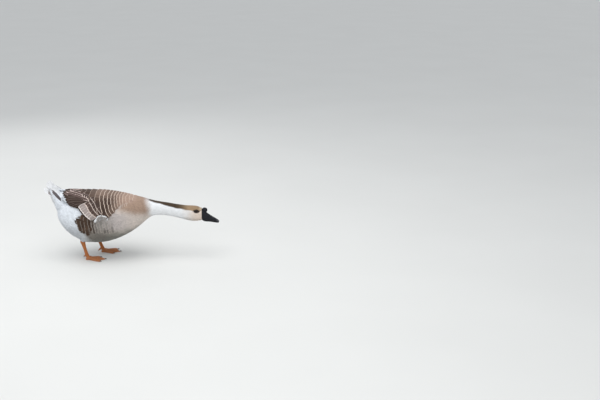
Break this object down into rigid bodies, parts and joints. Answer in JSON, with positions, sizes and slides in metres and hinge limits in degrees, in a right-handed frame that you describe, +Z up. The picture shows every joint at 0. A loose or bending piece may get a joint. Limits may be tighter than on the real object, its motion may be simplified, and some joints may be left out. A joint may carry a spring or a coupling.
{
  "type": "domestic goose",
  "caption": "Life-size still model of a brown and white knobbed domestic goose, standing on webbed feet with its neck stretched forward, wings folded and tail raised.",
  "frame": {"origin": "on the floor, below the middle of the goose's bounding box", "axes": "+Z up, +X the way the goose faces, +Y towards its left side"},
  "size_m": [0.872, 0.2532, 0.3948],
  "materials": {
    "plumage_white": "white feathers, matt",
    "plumage_buff": "grey-buff feathers, matt",
    "plumage_brown": "brown feathers with pale edges, matt",
    "plumage_quill": "dark stiff flight and tail feathers, faint sheen",
    "bill_black": "black horn and skin, satin",
    "leg_orange": "scaly orange skin, satin",
    "claw_horn": "dark horn, satin",
    "eye_brown": "dark brown eye, wet gloss"
  },
  "bodies": {
    "root": {"bill_lower": "bill_black", "bill_upper": "bill_black", "claw_hind_left": "claw_horn", "claw_hind_right": "claw_horn", "claw_inner_left": "claw_horn", "claw_inner_right": "claw_horn", "claw_middle_left": "claw_horn", "claw_middle_right": "claw_horn", "claw_outer_left": "claw_horn", "claw_outer_right": "claw_horn", "eye_left": "eye_brown", "eye_right": "eye_brown", "foot_left": "leg_orange", "foot_right": "leg_orange", "head": "plumage_buff", "hind_toe_left": "leg_orange", "hind_toe_right": "leg_orange", "knob": "bill_black", "neck_base": "plumage_white", "neck_middle": "plumage_white", "neck_upper": "plumage_white", "shank_left": "leg_orange", "shank_right": "leg_orange", "tail": "plumage_quill", "tail_coverts": "plumage_white", "thigh_left": "plumage_brown", "thigh_right": "plumage_brown", "trunk": "plumage_buff", "wing_left": "plumage_brown", "wing_right": "plumage_brown", "wing_tip_left": "plumage_quill", "wing_tip_right": "plumage_quill"}
  },
  "joints": []
}
